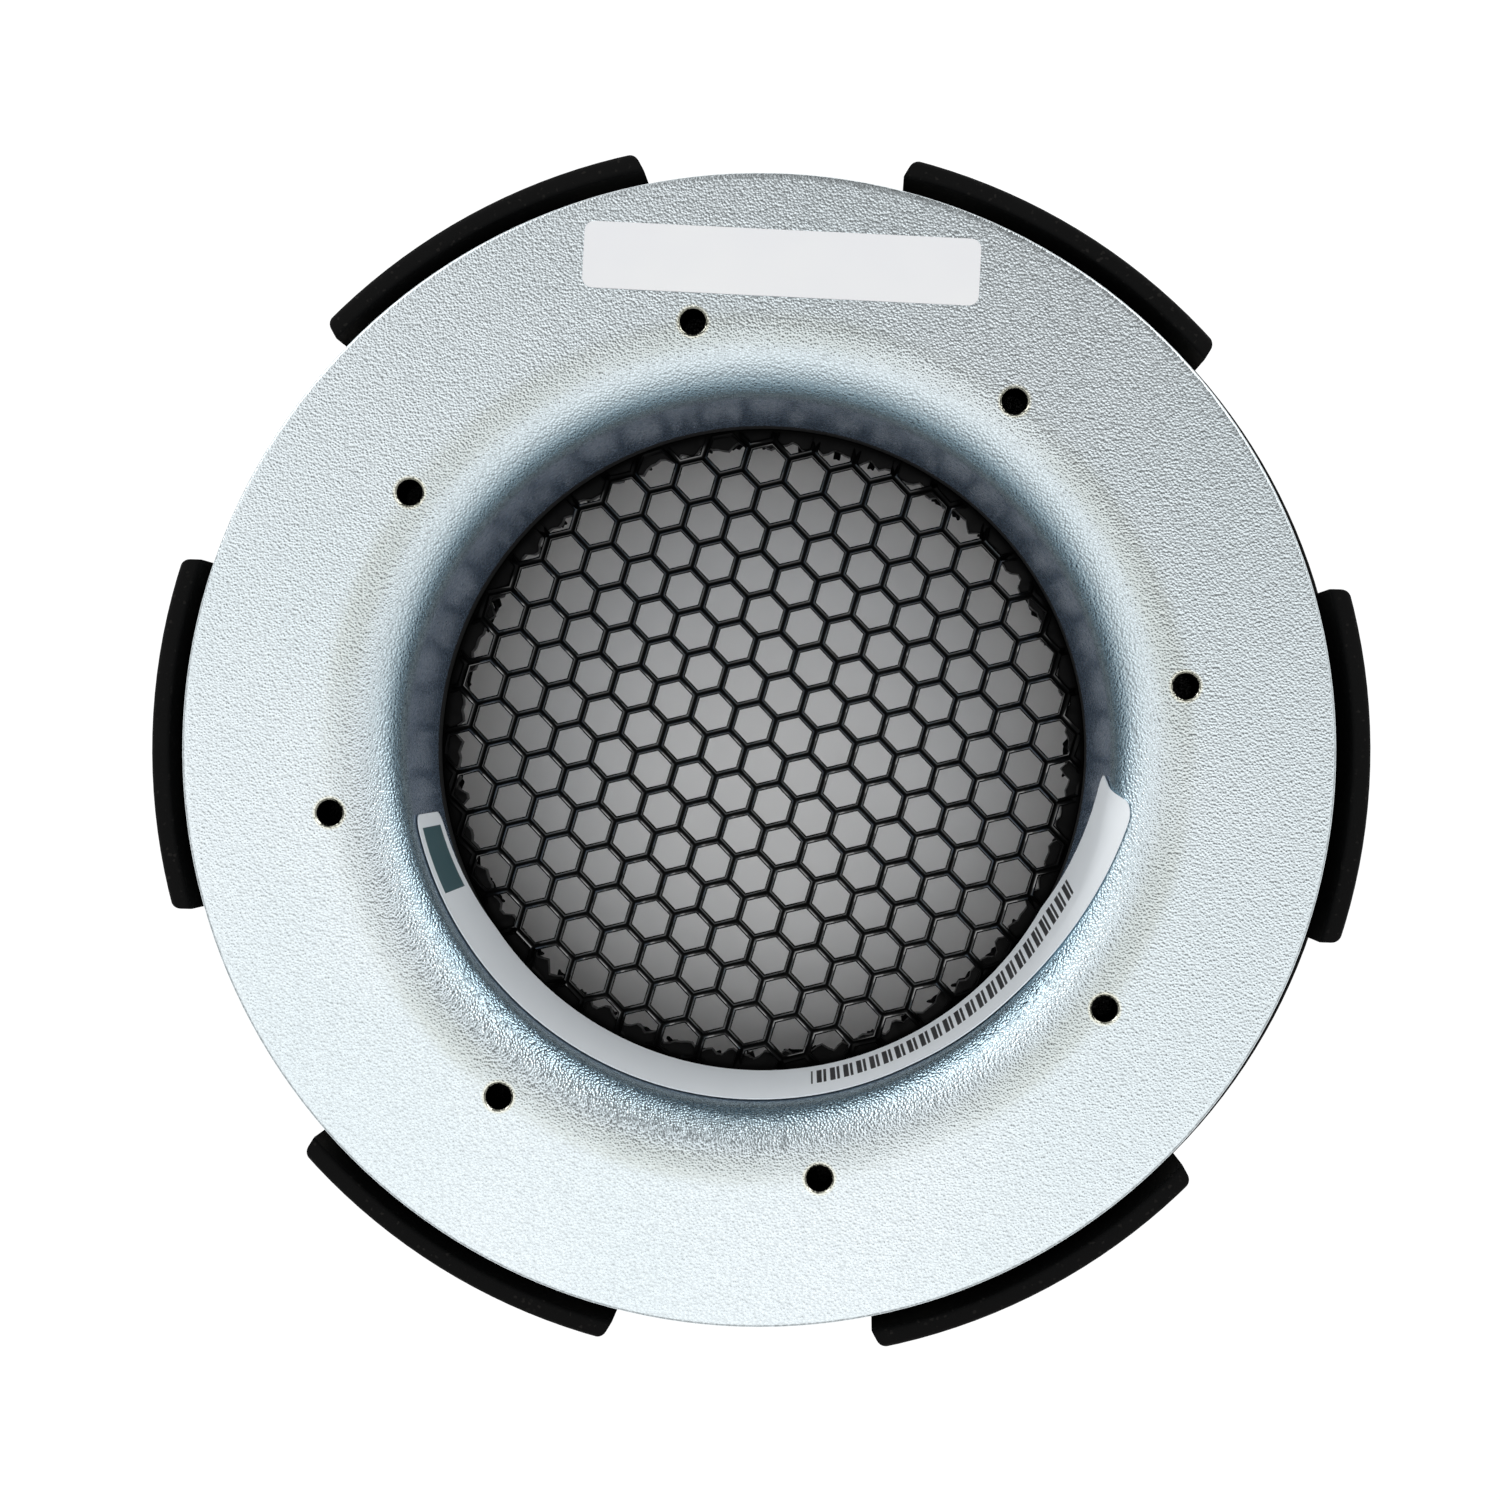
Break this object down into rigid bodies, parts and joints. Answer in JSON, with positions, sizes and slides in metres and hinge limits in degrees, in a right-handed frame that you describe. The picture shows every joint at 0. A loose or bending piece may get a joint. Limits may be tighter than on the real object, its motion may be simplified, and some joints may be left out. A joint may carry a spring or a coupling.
{
  "type": "midrange loudspeaker driver",
  "caption": "Round midrange loudspeaker driver with a zinc-plated open-throat yoke, black cage, hexagonal mesh grilles and a ceramic inverted dome on a sprung voice coil.",
  "frame": {"origin": "centre of the front face, on the surface that the driver lies on", "axes": "+Z along the dome's axis towards the rear plate, +X through the middle of one finger of the cage, terminals at -Y"},
  "size_m": [0.125, 0.125, 0.0469],
  "materials": {
    "zinc": "bright zinc plate, fine sand texture",
    "nickel": "nickel plate",
    "black_coat": "matte black powder coat",
    "black_steel": "blackened steel",
    "mesh": "semi-gloss black coat",
    "dome": "unglazed pale ceramic",
    "former": "thin titanium sheet",
    "winding": "enamelled copper",
    "surround": "matte rubber",
    "spider": "resin-dipped cloth",
    "resin": "dark laminate",
    "terminal": "tinned brass",
    "label": "white paper"
  },
  "bodies": {
    "driver": {"rear_yoke": "zinc", "front_plate": "zinc", "magnet_01": "nickel", "magnet_02": "nickel", "magnet_03": "nickel", "magnet_04": "nickel", "magnet_05": "nickel", "magnet_06": "nickel", "magnet_07": "nickel", "magnet_08": "nickel", "magnet_09": "nickel", "magnet_10": "nickel", "magnet_11": "nickel", "magnet_12": "nickel", "magnet_13": "nickel", "magnet_14": "nickel", "magnet_15": "nickel", "magnet_16": "nickel", "chassis": "black_coat", "chassis_screw_1": "black_steel", "chassis_screw_2": "black_steel", "chassis_screw_3": "black_steel", "chassis_screw_4": "black_steel", "chassis_screw_5": "black_steel", "chassis_screw_6": "black_steel", "rear_grille": "mesh", "front_grille": "mesh", "grille_ring": "black_coat", "surround": "surround", "surround_ring": "resin", "spider": "spider", "spider_ring": "resin", "terminal_board": "resin", "terminal_plus": "terminal", "terminal_minus": "terminal", "rivet_plus": "terminal", "rivet_minus": "terminal", "terminal_screw": "black_steel", "lead_plus": "winding", "lead_minus": "winding", "plate_label": "label", "throat_label": "label"},
    "diaphragm": {"dome": "dome", "coil_former": "former", "voice_coil": "winding"}
  },
  "joints": [
    {"name": "dome_travel", "type": "slide", "parent": "driver", "child": "diaphragm", "axis": [0, 0, 1], "range_m": [-0.002, 0.002], "stiffness_N_per_m": 2500, "deforming": ["surround", "spider", "lead_plus", "lead_minus"]}
  ]
}
